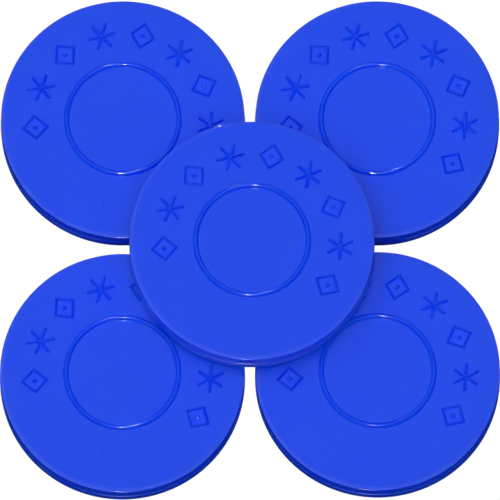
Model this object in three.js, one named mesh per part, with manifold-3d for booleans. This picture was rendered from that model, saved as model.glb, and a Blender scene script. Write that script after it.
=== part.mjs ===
// Five moulded plastic value tokens. Four lie in a square on the table and the fifth rests on them, over the middle.
// Each token is a single injection moulding: a disc whose face turns down a little towards its edge, a raised ring
// around the middle of the face, an arc of raised marks between the ring and the edge, and a faint gate tick in the
// gap of that arc.
//
// Millimetres, +Z up. The origin is on the table under the middle of the square, and -Y is the viewer's side.

import * as THREE from 'three';
import { mergeVertices } from 'three/addons/utils/BufferGeometryUtils.js';
import Module from 'manifold-3d';

const wasm = await Module();
wasm.setup();

// Disc
const tokenDiameter = 25;
const tokenThickness = 3.4; // from the underside to the face, without the relief
const crownWidth = 0.5; // the stretch of the face that turns down towards the side
const crownDrop = 0.08;
const undersideEdgeRadius = 0.12; // rounding from the side to the underside

// Relief on the face
const reliefHeight = 0.35; // how far the ring and the marks stand above the face
const reliefRoot = 0.2; // how far they run down into the disc, so that they are one body with it

// Ring
const ringRadius = 5.74; // to the middle of its crest
const ringCrest = 0.18; // width of the flat on top
const ringSlope = 0.46; // sideways run of each flank for each millimetre down

// Arc of marks, midway between the ring and the stretch that turns down
const markCount = 9;
const markPitch = 27.1; // degrees from one mark to the next
const markWidth = 2.8; // around the token
const markHeight = 3; // outwards from its axis
const markStroke = 0.28;
const pipWidth = 0.5; // the small square in the middle of a lozenge
const starRays = 6;

// Gate tick
const tickLength = 1.5;
const tickWidth = 0.2;
const tickHeight = 0.03;

// How the set lies
const columnGap = 1; // left to right, between the sides of two tokens
const rowGap = 1.6; // front to back
const frontRightNudge = 0.2; // the front right token lies this much further back than its neighbour
const topOffset = [0.2, -0.35]; // the top token's middle, from the middle of the square
const tokenTurn = -12.9; // degrees; turns the arc of marks clockwise from straight up
const restGap = 0.05; // air between the top token's underside and the relief that it rests on

// Fineness of the round shapes
const discSides = 60;
const ringSides = 40;
const undersideEdgeSteps = 2;

const tokenRadius = tokenDiameter / 2;
const reliefBase = tokenThickness - reliefRoot;
const ringOuterRadius = ringRadius + ringCrest / 2 + ringSlope * reliefHeight;
const flatRadius = tokenRadius - crownWidth;
const markRadius = (ringOuterRadius + flatRadius) / 2;

// A closed geometry as a manifold solid: corners merged, and the slivers that collapse on the axis dropped.
function solidOf(geometry) {
  geometry.deleteAttribute('normal');
  geometry.deleteAttribute('uv');
  const merged = mergeVertices(geometry, 1e-5);
  const corners = merged.index.array;
  const triVerts = [];
  for (let i = 0; i < corners.length; i += 3) {
    const triangle = corners.slice(i, i + 3);
    if (new Set(triangle).size === 3) triVerts.push(...triangle);
  }
  return new wasm.Manifold(new wasm.Mesh({
    numProp: 3,
    vertProperties: merged.attributes.position.array,
    triVerts: Uint32Array.from(triVerts),
  }));
}

function geometryOf(solid) {
  const mesh = solid.getMesh();
  const geometry = new THREE.BufferGeometry();
  geometry.setAttribute('position', new THREE.BufferAttribute(mesh.vertProperties, 3));
  geometry.setIndex(new THREE.BufferAttribute(mesh.triVerts, 1));
  geometry.computeVertexNormals();
  return geometry;
}

// A profile in (radius, height) turned about the upright axis.
function turned(profile, sides) {
  return new THREE.LatheGeometry(profile, sides).rotateX(Math.PI / 2);
}

// Points of a quarter turn about a centre, both ends included.
function quarterArc(centre, radius, startAngle, steps) {
  return Array.from({ length: steps + 1 }, (_, i) => {
    const angle = startAngle + (i / steps) * (Math.PI / 2);
    return new THREE.Vector2(centre.x + radius * Math.cos(angle), centre.y + radius * Math.sin(angle));
  });
}

function disc() {
  const lowCentre = new THREE.Vector2(tokenRadius - undersideEdgeRadius, undersideEdgeRadius);
  return turned([
    new THREE.Vector2(0, 0),
    ...quarterArc(lowCentre, undersideEdgeRadius, -Math.PI / 2, undersideEdgeSteps),
    new THREE.Vector2(tokenRadius, tokenThickness - crownDrop),
    new THREE.Vector2(flatRadius, tokenThickness),
    new THREE.Vector2(0, tokenThickness),
  ], discSides);
}

function ring() {
  const crestHalf = ringCrest / 2;
  const rootHalf = crestHalf + ringSlope * (reliefRoot + reliefHeight);
  const crest = tokenThickness + reliefHeight;
  const inner = new THREE.Vector2(ringRadius - rootHalf, reliefBase);
  return turned([
    inner,
    new THREE.Vector2(ringRadius + rootHalf, reliefBase),
    new THREE.Vector2(ringRadius + crestHalf, crest),
    new THREE.Vector2(ringRadius - crestHalf, crest),
    inner.clone(),
  ], ringSides);
}

// A flat outline as a raised piece that starts inside the disc.
function raised(shape, height) {
  const depth = reliefRoot + height;
  return new THREE.ExtrudeGeometry(shape, { depth, bevelEnabled: false }).translate(0, 0, reliefBase);
}

function outline(points) {
  return new THREE.Shape(points.map(([x, y]) => new THREE.Vector2(x, y)));
}

function diamond(halfWidth, halfHeight) {
  return outline([[halfWidth, 0], [0, halfHeight], [-halfWidth, 0], [0, -halfHeight]]);
}

function bar(width, length) {
  const x = width / 2;
  const y = length / 2;
  return outline([[x, -y], [x, y], [-x, y], [-x, -y]]);
}

// An open diamond with the same stroke on all four sides, and a pip in its middle.
function lozengeMark() {
  const halfWidth = markWidth / 2;
  const halfHeight = markHeight / 2;
  const side = Math.hypot(halfWidth, halfHeight);
  const frame = diamond(halfWidth, halfHeight);
  frame.holes.push(diamond(
    halfWidth - (markStroke * side) / halfHeight,
    halfHeight - (markStroke * side) / halfWidth,
  ));
  return [raised(frame, reliefHeight), raised(diamond(pipWidth / 2, pipWidth / 2), reliefHeight)];
}

// Bars that cross in the middle.
function starMark() {
  return Array.from({ length: starRays / 2 }, (_, i) => {
    const ray = raised(bar(markStroke, markHeight), reliefHeight);
    return ray.rotateZ((i * 2 * Math.PI) / starRays);
  });
}

// Puts pieces made about the axis out on the face at an angle, with their tops away from the middle.
function placeOnFace(pieces, degrees) {
  const turn = THREE.MathUtils.degToRad(degrees);
  return pieces.map((piece) => piece.translate(0, markRadius, 0).rotateZ(turn));
}

function arcOfMarks() {
  const first = (markPitch * (markCount - 1)) / 2;
  return Array.from({ length: markCount }, (_, i) => {
    const mark = i % 2 === 0 ? lozengeMark() : starMark();
    return placeOnFace(mark, first - i * markPitch);
  }).flat();
}

function gateTick() {
  return placeOnFace([raised(bar(tickWidth, tickLength), tickHeight)], 180);
}

function tokenSolid() {
  const relief = [ring(), ...arcOfMarks(), ...gateTick()];
  return relief.reduce((token, piece) => token.add(solidOf(piece)), solidOf(disc()));
}

const bluePlastic = { color: 0x294de3, roughness: 0.38, metalness: 0 };

function addToken(parent, name, solid, [x, y, z]) {
  const token = new THREE.Mesh(geometryOf(solid), new THREE.MeshStandardMaterial(bluePlastic));
  token.name = name;
  token.position.set(x, y, z);
  token.rotation.z = THREE.MathUtils.degToRad(tokenTurn);
  parent.add(token);
}

function tokenSet() {
  const set = new THREE.Group();
  const solid = tokenSolid();
  const right = (tokenDiameter + columnGap) / 2;
  const back = (tokenDiameter + rowGap) / 2;
  const stackHeight = tokenThickness + reliefHeight + restGap;
  const places = {
    back_left_token: [-right, back, 0],
    back_right_token: [right, back, 0],
    front_left_token: [-right, -back, 0],
    front_right_token: [right, -back + frontRightNudge, 0],
    top_token: [...topOffset, stackHeight],
  };
  for (const [name, place] of Object.entries(places)) addToken(set, name, solid, place);
  return set;
}

export default tokenSet();
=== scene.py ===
# Five moulded plastic value tokens on a pale table: four in a square and one resting on top.
import math

import bmesh
import bpy
from mathutils import Matrix, Vector


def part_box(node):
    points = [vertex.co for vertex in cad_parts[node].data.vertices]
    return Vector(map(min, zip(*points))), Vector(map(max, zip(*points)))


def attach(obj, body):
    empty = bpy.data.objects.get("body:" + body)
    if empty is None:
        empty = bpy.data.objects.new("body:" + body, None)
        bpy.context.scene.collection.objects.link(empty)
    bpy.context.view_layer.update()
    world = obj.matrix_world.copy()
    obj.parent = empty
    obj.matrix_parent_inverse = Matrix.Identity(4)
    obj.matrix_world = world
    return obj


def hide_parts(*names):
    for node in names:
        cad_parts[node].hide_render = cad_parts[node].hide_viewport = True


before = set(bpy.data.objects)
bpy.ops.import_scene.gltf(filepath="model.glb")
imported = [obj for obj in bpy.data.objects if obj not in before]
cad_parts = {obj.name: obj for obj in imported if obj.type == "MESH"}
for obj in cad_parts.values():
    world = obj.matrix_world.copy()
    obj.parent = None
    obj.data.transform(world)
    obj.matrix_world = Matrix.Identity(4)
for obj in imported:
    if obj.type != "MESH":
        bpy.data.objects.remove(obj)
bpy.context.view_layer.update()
print("frame loaded:", ", ".join(sorted(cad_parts)))

millimetre = 0.001  # the token is modelled in millimetres and brought down to metres when it is placed
hair = 0.001  # points closer than this count as level


def deselectAll():
    if bpy.context.object and bpy.context.object.mode != "OBJECT":
        bpy.ops.object.mode_set(mode="OBJECT")
    bpy.ops.object.select_all(action="DESELECT")


def edit(obj, kind):
    deselectAll()
    bpy.context.view_layer.objects.active = obj
    obj.select_set(True)
    bpy.ops.object.mode_set(mode="EDIT")
    bpy.ops.mesh.select_mode(type=kind)
    bpy.ops.mesh.select_all(action="DESELECT")


def pick(obj, kind, test):
    # kind is "verts", "edges" or "faces"; test gets one of them
    mesh = bmesh.from_edit_mesh(obj.data)
    bpy.ops.mesh.select_mode(type={"verts": "VERT", "edges": "EDGE", "faces": "FACE"}[kind])
    bpy.ops.mesh.select_all(action="DESELECT")
    for item in getattr(mesh, kind):
        if test(item):
            item.select_set(True)
    mesh.select_flush_mode()
    bmesh.update_edit_mesh(obj.data)


def reach(vert):
    return math.hypot(vert.co.x, vert.co.y)


def onLoop(edge, radius, height, slack=0.004):
    # an edge that runs round the axis at that radius and height
    return all(abs(reach(v) - radius) < slack and abs(v.co.z - height) < slack for v in edge.verts)


def applyModifier(obj, kind, **settings):
    bpy.context.view_layer.objects.active = obj
    modifier = obj.modifiers.new(kind.title(), kind)
    for name, value in settings.items():
        setattr(modifier, name, value)
    bpy.ops.object.modifier_apply(modifier=modifier.name)


def joinAll(objects, name):
    deselectAll()
    for obj in objects:
        obj.select_set(True)
    bpy.context.view_layer.objects.active = objects[0]
    bpy.ops.object.join()
    objects[0].name = name
    return objects[0]


camera = {
    "elevation": 76.5,  # degrees above the table
    "distance": 1.6,
    "width": 0.05099,  # what the picture takes in, left to right, at the tokens' faces
    "aim": (0, -0.00048, 0.0035),
    "sensor": 36,
    "clip": (0.01, 10),
}


def addCamera():
    aim = Vector(camera["aim"])
    tilt = math.radians(camera["elevation"])
    back = Vector((0, -math.cos(tilt), math.sin(tilt)))
    bpy.ops.object.camera_add(location=aim + back * camera["distance"])
    cam = bpy.context.object
    cam.name = "viewer"
    cam.rotation_euler = back.to_track_quat("Z", "Y").to_euler()
    cam.data.sensor_width = camera["sensor"]
    cam.data.lens = camera["sensor"] * camera["distance"] / camera["width"]
    cam.data.clip_start, cam.data.clip_end = camera["clip"]
    bpy.context.scene.camera = cam


addCamera()
print("camera set")


# a socket that can be added, multiplied and so on
class Wire:
    def __init__(self, tree, socket):
        self.tree = tree
        self.socket = socket

    def maths(self, operation, *others):
        node = self.tree.nodes.new("ShaderNodeMath")
        node.operation = operation
        for slot, value in zip(node.inputs, others):
            if isinstance(value, Wire):
                self.tree.links.new(value.socket, slot)
            else:
                slot.default_value = value
        return Wire(self.tree, node.outputs[0])

    def __add__(self, other):
        return self.maths("ADD", self, other)

    __radd__ = __add__

    def __sub__(self, other):
        return self.maths("SUBTRACT", self, other)

    def __rsub__(self, other):
        return self.maths("SUBTRACT", other, self)

    def __mul__(self, other):
        return self.maths("MULTIPLY", self, other)

    __rmul__ = __mul__

    def power(self, other):
        return self.maths("POWER", self, other)


# the node tree of a material or of the world
class Shader:
    def __init__(self, owner):
        owner.use_nodes = True
        self.tree = owner.node_tree
        self.tree.nodes.clear()

    def node(self, kind, settings=None, output=0, **sockets):
        made = self.tree.nodes.new("ShaderNode" + kind)
        for name, value in (settings or {}).items():
            setattr(made, name, value)
        for name, value in sockets.items():
            slot = made.inputs[int(name[1:]) if name[1:].isdigit() else name.replace("_", " ")]
            if isinstance(value, Wire):
                self.tree.links.new(value.socket, slot)
            else:
                slot.default_value = value
        return Wire(self.tree, made.outputs[output]) if made.outputs else None


plastic = {
    "colour": (0.003, 0.072, 0.865, 1),
    "shade": (0.002, 0.068, 0.845, 1),  # where the pigment is a little thicker
    "cloudScale": 90,  # of the patches of thicker pigment
    "roughness": 0.1,
    "cloudRoughness": 0.02,  # how much it varies with the pigment
    "gloss": 0.24,
    "refraction": 1.5,
    "clouded": 0.85,  # the share of the light that goes inside
    "depth": 0.003,  # how far blue light travels there
    "reach": (0.003, 0.008, 1),  # red, green and blue, as shares of that
    "grainScale": 5200,
    "grainHeight": 0.000002,
    "grainStrength": 0.5,
    "scuffScale": (400, 9000, 400),  # long and thin
    "scuffTurn": 0.6,  # radians
    "scuffRange": (0.66, 0.8),  # of the noise; only its peaks show
    "scuffRoughness": 0.03,
    "scuffHeight": 0.4,  # as a share of the grain's
}


def bluePlastic():
    material = bpy.data.materials.new("bluePlastic")
    shader = Shader(material)
    solid = {"noise_dimensions": "3D"}
    place = shader.node("TexCoord", output="Object")
    cloud = shader.node("TexNoise", solid, Vector=place, Scale=plastic["cloudScale"], Detail=3, Roughness=0.5)
    grain = shader.node("TexNoise", solid, Vector=place, Scale=plastic["grainScale"], Detail=2, Roughness=0.6)
    stretched = shader.node("Mapping", Vector=place, Rotation=(0, 0, plastic["scuffTurn"]),
                            Scale=plastic["scuffScale"])
    scuff = shader.node("TexNoise", solid, Vector=stretched, Scale=1, Detail=2, Roughness=0.5)
    scuffLow, scuffHigh = plastic["scuffRange"]
    scuffMask = shader.node("MapRange", {"clamp": True}, Value=scuff, From_Min=scuffLow, From_Max=scuffHigh,
                            To_Min=0, To_Max=1)
    colour = shader.node("Mix", {"data_type": "RGBA"}, output=2, Factor=cloud,
                         i6=plastic["colour"], i7=plastic["shade"])
    rough = (plastic["roughness"] + (cloud - 0.5) * plastic["cloudRoughness"]
             + scuffMask * plastic["scuffRoughness"])
    bump = shader.node("Bump", Height=grain + scuffMask * plastic["scuffHeight"],
                       Distance=plastic["grainHeight"], Strength=plastic["grainStrength"])
    surface = shader.node("BsdfPrincipled", Base_Color=colour, Roughness=rough, IOR=plastic["refraction"],
                          Specular_IOR_Level=plastic["gloss"], Subsurface_Weight=plastic["clouded"],
                          Subsurface_Radius=plastic["reach"], Subsurface_Scale=plastic["depth"], Normal=bump)
    shader.node("OutputMaterial", Surface=surface)
    return material


disc = {
    "radius": 12.5,
    "thickness": 3.4,
    "sides": 240,
    "draft": 0.01,  # how far the side leans in above and below the parting line
    "partingHeight": 1.45,
    "ledge": 0.04,  # the lower half of the mould is this much wider
    "ledgeDrop": 0.0262,
    "crownWidth": 0.5,  # over which the face turns down towards the side
    "crownTilt": 18,  # degrees, where it meets the corner
    "crownSteps": 5,
    "corner": 0.025,
    "cornerSteps": 4,
    "undersideEdge": 0.08,
    "undersideSteps": 5,
    "guard": 0.06,  # from an edge to the loop that keeps the flat beside it flat
}

ring = {
    "radius": 5.74,
    "crest": 0.11,
    "flank": 0.23,
    "height": 0.35,
    "crestEdge": 0.03,
    "crestSteps": 3,
    "footEdge": 0.01,
    "footSteps": 2,
}


def inset(amount):
    bpy.ops.mesh.inset(thickness=amount, depth=0, use_even_offset=True)


def raiseBy(amount):
    bpy.ops.transform.translate(value=(0, 0, amount))


def widen(obj, share, test):
    pick(obj, "verts", test)
    bpy.ops.transform.resize(value=(share, share, 1))


def bevelLoop(obj, radius, height, amount, steps):
    pick(obj, "edges", lambda edge: onLoop(edge, radius, height))
    bpy.ops.mesh.bevel(offset=amount, offset_type="OFFSET", segments=steps, profile=0.5, affect="EDGES")


# two drafted halves that meet in a ledge at the parting line
def mouldedSide(token, topRadius):
    parting = disc["partingHeight"]
    ledgeFoot = parting - disc["ledgeDrop"]
    for height in (parting, ledgeFoot):
        bpy.ops.mesh.select_all(action="SELECT")
        bpy.ops.mesh.bisect(plane_co=(0, 0, height), plane_no=(0, 0, 1))
    widen(token, (disc["radius"] - disc["ledge"]) / topRadius, lambda vert: abs(vert.co.z - parting) < hair)
    widen(token, disc["radius"] / topRadius, lambda vert: vert.co.z < ledgeFoot + hair)
    widen(token, 1 - disc["draft"] / disc["radius"], lambda vert: vert.co.z < hair)
    bevelLoop(token, disc["radius"] - disc["draft"], 0, disc["undersideEdge"], disc["undersideSteps"])


# the face's last stretch turns down on an arc, and then comes a tight corner
def crownedEdge(token, topRadius, bodyHeight, arcRadius):
    steps = disc["crownSteps"]
    tilts = [math.radians(disc["crownTilt"]) * i / steps for i in range(steps + 1)]
    pick(token, "faces", lambda face: face.normal.z > 0.999)
    for lower, upper in zip(reversed(tilts[1:]), reversed(tilts[:-1])):
        inset(arcRadius * (math.sin(lower) - math.sin(upper)))
        raiseBy(arcRadius * (math.cos(upper) - math.cos(lower)))
    bevelLoop(token, topRadius, bodyHeight, disc["corner"], disc["cornerSteps"])


def discWithRing():
    topRadius = disc["radius"] - disc["ledge"] - disc["draft"]
    top = disc["thickness"]
    tilt = math.radians(disc["crownTilt"])
    arcRadius = disc["crownWidth"] / math.sin(tilt)
    bodyHeight = top - arcRadius * (1 - math.cos(tilt))
    deselectAll()
    bpy.ops.mesh.primitive_cylinder_add(vertices=disc["sides"], radius=topRadius, depth=bodyHeight,
                                        end_fill_type="NGON", location=(0, 0, bodyHeight / 2))
    token = bpy.context.object
    bpy.ops.object.transform_apply(location=True)
    edit(token, "EDGE")
    mouldedSide(token, topRadius)
    crownedEdge(token, topRadius, bodyHeight, arcRadius)

    # loops for the ring, with one close to each edge
    pick(token, "faces", lambda face: face.normal.z > 0.999 and len(face.verts) > 8)
    crestOuter = ring["radius"] + ring["crest"] / 2
    crestInner = ring["radius"] - ring["crest"] / 2
    outerFoot = crestOuter + ring["flank"]
    guard = disc["guard"]
    inset(guard)
    inset(topRadius - disc["crownWidth"] - 2 * guard - outerFoot)
    inset(guard)
    inset(ring["flank"])
    inset(ring["crest"])
    inset(ring["flank"])
    inset(guard)
    pick(token, "faces", lambda face: face.normal.z > 0.999 and len(face.verts) == 4
         and abs(math.hypot(*face.calc_center_median()[:2]) - ring["radius"]) < 0.02)
    raiseBy(ring["height"])
    crestHeight = top + ring["height"]
    for radius in (crestOuter, crestInner):
        bevelLoop(token, radius, crestHeight, ring["crestEdge"], ring["crestSteps"])
    for radius in (outerFoot, crestInner - ring["flank"]):
        bevelLoop(token, radius, top, ring["footEdge"], ring["footSteps"])
    bpy.ops.object.mode_set(mode="OBJECT")
    return token


marks = {
    "count": 9,
    "pitch": 27.1,  # degrees
    "radius": 8.98,
    "width": 2.8,
    "height": 3,
    "stroke": 0.34,
    "crest": 0.05,
    "relief": 0.35,
    "pip": 0.5,
    "rays": 6,
    "sink": 0.06,  # how far a mark runs down into the disc before the two are joined
    "tipRounding": 1.02,  # of a star's arms, against how far their tops are drawn in
    "tipSteps": 5,
}


def capsule(width, relief, length=0):
    # a ball, pulled out along Y when it has a length, flattened and part sunk in the face
    bpy.ops.mesh.primitive_uv_sphere_add(segments=16, ring_count=9, radius=width / 2)
    made = bpy.context.object
    if length:
        edit(made, "VERT")
        for side in (-1, 1):
            pick(made, "verts", lambda vert: vert.co.y * side > hair)
            bpy.ops.transform.translate(value=(0, side * (length - width) / 2, 0))
        bpy.ops.object.mode_set(mode="OBJECT")
    made.scale = (1, 1, (relief + marks["sink"]) / (width / 2))
    made.location = (0, 0, -marks["sink"])
    bpy.ops.object.transform_apply(location=True, rotation=True, scale=True)
    return made


def lozengeMark():
    # a four-cornered ring of ridge section, with a pip in its middle
    rise = marks["relief"] + marks["sink"]
    halfWidth, halfHeight = marks["width"] / 2, marks["height"] / 2
    halfStroke = marks["stroke"] / 2 * rise / marks["relief"]
    share = halfStroke * math.hypot(halfWidth, halfHeight) / (halfWidth * halfHeight)
    across, along = (half / (1 + share) for half in (halfWidth, halfHeight))
    deselectAll()
    bpy.ops.mesh.primitive_torus_add(major_segments=4, minor_segments=4, major_radius=1, minor_radius=share)
    outline = bpy.context.object
    outline.scale = (across, along, rise / share)
    outline.location = (0, 0, -marks["sink"])
    bpy.ops.object.transform_apply(location=True, scale=True)
    edit(outline, "EDGE")
    pick(outline, "edges", lambda edge: all(vert.co.z > marks["relief"] - hair for vert in edge.verts))
    bpy.ops.mesh.bevel(offset=marks["crest"], segments=2, affect="EDGES")
    bpy.ops.object.mode_set(mode="OBJECT")
    return joinAll([outline, capsule(marks["pip"], marks["relief"])], "lozenge")


def starMark():
    # arms drawn out of the sides of a six-sided stub, with their tops drawn in to a ridge
    bottom = -marks["sink"]
    slope = (marks["stroke"] - marks["crest"]) / 2 / marks["relief"]
    footWidth = marks["stroke"] + 2 * slope * marks["sink"]
    drawnIn = (footWidth - marks["crest"]) / 2
    deselectAll()
    bpy.ops.mesh.primitive_cylinder_add(vertices=marks["rays"], radius=footWidth, depth=marks["sink"] / 2,
                                        location=(0, 0, bottom + marks["sink"] / 4))
    star = bpy.context.object
    bpy.ops.object.transform_apply(location=True)
    edit(star, "FACE")
    pick(star, "faces", lambda face: abs(face.normal.z) < 0.1)
    stub = footWidth * math.cos(math.pi / marks["rays"])
    bpy.ops.mesh.extrude_faces_move(TRANSFORM_OT_shrink_fatten={"value": marks["height"] / 2 - stub})
    pick(star, "edges", lambda edge: all(reach(v) > stub * 2 for v in edge.verts)
         and abs(edge.verts[0].co.z - edge.verts[1].co.z) > hair)
    # rounded by a little more than the tops are drawn in, so that they don't fold over themselves
    bpy.ops.mesh.bevel(offset=drawnIn * marks["tipRounding"], segments=marks["tipSteps"], affect="EDGES")
    pick(star, "faces", lambda face: face.normal.z > 0.9)
    rise = marks["relief"] - bottom - marks["sink"] / 2
    inset(drawnIn)
    raiseBy(rise)
    bpy.ops.object.mode_set(mode="OBJECT")
    return star


def arcOfMarks():
    patterns = [lozengeMark(), starMark()]
    first = marks["pitch"] * (marks["count"] - 1) / 2
    placed = []
    for i in range(marks["count"]):
        mark = patterns[i % 2].copy()
        mark.data = mark.data.copy()
        bpy.context.collection.objects.link(mark)
        turn = Matrix.Rotation(math.radians(first - i * marks["pitch"]), 4, "Z")
        mark.data.transform(turn @ Matrix.Translation((0, marks["radius"], disc["thickness"])))
        placed.append(mark)
    for pattern in patterns:
        bpy.data.objects.remove(pattern)
    return placed


tick = {
    "length": 1.5,
    "width": 0.2,
    "relief": 0.03,
}


def gateTick():
    # the faint trace of the gate, in the gap of the arc
    trace = capsule(tick["width"], tick["relief"], tick["length"])
    trace.data.transform(Matrix.Translation((0, -marks["radius"], disc["thickness"])))
    return trace


def modelToken():
    token = discWithRing()
    print("disc and ring modelled")
    relief = joinAll(arcOfMarks() + [gateTick()], "relief")
    deselectAll()
    token.select_set(True)
    applyModifier(token, "BOOLEAN", operation="UNION", object=relief, solver="EXACT")
    bpy.data.objects.remove(relief)
    print("marks raised out of the face")
    bpy.context.view_layer.objects.active = token
    token.select_set(True)
    bpy.ops.object.shade_smooth_by_angle(angle=math.radians(smoothUpTo))
    applyModifier(token, "WEIGHTED_NORMAL", weight=100, keep_sharp=True)
    return token


tokenTurn = -12.9  # degrees
smoothUpTo = 30  # degrees between two faces

deselectAll()
pattern = modelToken()
plasticMaterial = bluePlastic()
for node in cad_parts:
    low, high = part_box(node)
    body = node.removesuffix("_token")
    token = pattern.copy()
    token.data = pattern.data.copy()
    token.name = token.data.name = body + "_moulding"
    bpy.context.collection.objects.link(token)
    middle = (low + high) / 2
    place = Matrix.Translation((middle.x, middle.y, low.z))
    turn = Matrix.Rotation(math.radians(tokenTurn), 4, "Z")
    token.data.transform(place @ turn @ Matrix.Scale(millimetre, 4))
    token.data.materials.clear()
    token.data.materials.append(plasticMaterial)
    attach(token, body)
    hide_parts(node)
bpy.data.objects.remove(pattern)
print("tokens placed:", len(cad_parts))


studio = {
    "tableSize": 3,
    "tableGap": 0.00002,  # keeps the table out of the plane of the undersides
    "tableColour": (0.42, 0.42, 0.6, 1),
    "tableMottle": (0.4, 0.4, 0.57, 1),
    "mottleScale": 60,
    "mottleShare": 0.2,
    "tableWhite": 0.9,  # how far the table is washed out to white where it is seen
    "whiteGlow": 1.1,
    "skyLow": 0.02,
    "skyHigh": 3.5,
    "skyAngle": 135,  # degrees round from the right, towards the back left
    "skyRise": 82,
    "skyFocus": 4,
    "horizon": 0.06,  # the share of the light that is left near the horizon
    "horizonRange": (0.05, 0.4),  # heights in the sky, up to 1 overhead, between which it comes up to full
    "stripGlow": 2.4,  # a low strip of light in front, which the ledge mirrors
    "stripRise": 37,
    "stripHalf": 0.035,  # half its height in the sky
    "stripFade": 0.4,  # of that, over which it fades out
    "stripEnds": (0.3, 0.6),  # cosines to the front, between which its ends fade in
    "hoodDepth": 0.7,  # the dark hood around the lens, overhead
    "hoodSpread": 10,
    "floorGlow": 0.006,  # what the sides mirror from below
    "lampDistance": 0.6,
}

glints = {
    "frontGlint": {"angle": 265.5, "rise": 42, "power": 20, "size": 0.02},
    "backGlint": {"angle": 102, "rise": 15, "power": 16, "size": 0.02},
}


def direction(angle, rise):
    turn, lift = math.radians(angle), math.radians(rise)
    return Vector((math.cos(turn) * math.cos(lift), math.sin(turn) * math.cos(lift), math.sin(lift)))


def tableMaterial():
    material = bpy.data.materials.new("paleTable")
    shader = Shader(material)
    place = shader.node("TexCoord", output="Object")
    mottle = shader.node("TexNoise", {"noise_dimensions": "3D"}, Vector=place, Scale=studio["mottleScale"],
                         Detail=2)
    colour = shader.node("Mix", {"data_type": "RGBA"}, output=2, Factor=mottle * studio["mottleShare"],
                         i6=studio["tableColour"], i7=studio["tableMottle"])
    matte = shader.node("BsdfDiffuse", Color=colour)
    white = shader.node("Emission", Color=(1, 1, 1, 1), Strength=studio["whiteGlow"])
    seen = shader.node("LightPath", output="Is Camera Ray")
    surface = shader.node("MixShader", Fac=seen * studio["tableWhite"], i1=matte, i2=white)
    shader.node("OutputMaterial", Surface=surface)
    return material


def addLamp(name, lamp):
    out = direction(lamp["angle"], lamp["rise"])
    bpy.ops.object.light_add(type="AREA", location=out * studio["lampDistance"])
    light = bpy.context.object
    light.name = name
    light.data.energy = lamp["power"]
    light.data.size = lamp["size"]
    light.rotation_euler = out.to_track_quat("Z", "Y").to_euler()
    light.visible_diffuse = False  # it only makes the small glints


def skyDome():
    world = bpy.data.worlds.new("studio")
    shader = Shader(world)
    out = shader.node("TexCoord", output="Generated")
    softbox = direction(studio["skyAngle"], studio["skyRise"])
    towardsBox = shader.node("VectorMath", {"operation": "DOT_PRODUCT"}, output=1, i0=out, i1=softbox)
    lens = direction(90, camera["elevation"])  # where the faces mirror the lens
    towardsLens = shader.node("VectorMath", {"operation": "DOT_PRODUCT"}, output=1, i0=out, i1=lens)
    hood = towardsLens.maths("MAXIMUM", towardsLens, 0).power(studio["hoodSpread"]) * studio["hoodDepth"]
    boxGlow = towardsBox.maths("MAXIMUM", towardsBox, 0).power(studio["skyFocus"])
    glow = studio["skyLow"] + studio["skyHigh"] * boxGlow
    upwards = shader.node("SeparateXYZ", output=2, Vector=out)
    towardsFront = shader.node("VectorMath", {"operation": "DOT_PRODUCT"}, output=1, i0=out,
                               i1=direction(270, 0))
    farEnd, nearEnd = studio["stripEnds"]
    inFront = shader.node("MapRange", {"clamp": True}, Value=towardsFront, From_Min=farEnd, From_Max=nearEnd)
    level = math.sin(math.radians(studio["stripRise"]))
    offLevel = upwards.maths("ABSOLUTE", upwards - level)
    inStrip = shader.node("MapRange", {"clamp": True}, Value=offLevel,
                          From_Min=studio["stripHalf"] * (1 + studio["stripFade"]),
                          From_Max=studio["stripHalf"] * (1 - studio["stripFade"]))
    strip = inFront * inStrip * studio["stripGlow"]
    horizonLow, horizonHigh = studio["horizonRange"]
    rising = shader.node("MapRange", {"clamp": True}, Value=upwards,
                         From_Min=horizonLow, From_Max=horizonHigh, To_Min=studio["horizon"], To_Max=1)
    strength = glow * rising * (1 - hood) + strip + studio["floorGlow"]
    background = shader.node("Background", Color=(1, 1, 1, 1), Strength=strength)
    shader.node("OutputWorld", Surface=background)
    bpy.context.scene.world = world


deselectAll()
bpy.ops.mesh.primitive_plane_add(size=studio["tableSize"], location=(0, 0, -studio["tableGap"]))
table = bpy.context.object
table.name = "table"
table.visible_glossy = False
table.data.materials.append(tableMaterial())
for name, lamp in glints.items():
    addLamp(name, lamp)
skyDome()
bpy.context.scene.view_settings.view_transform = "Standard"
print("table and lights set")
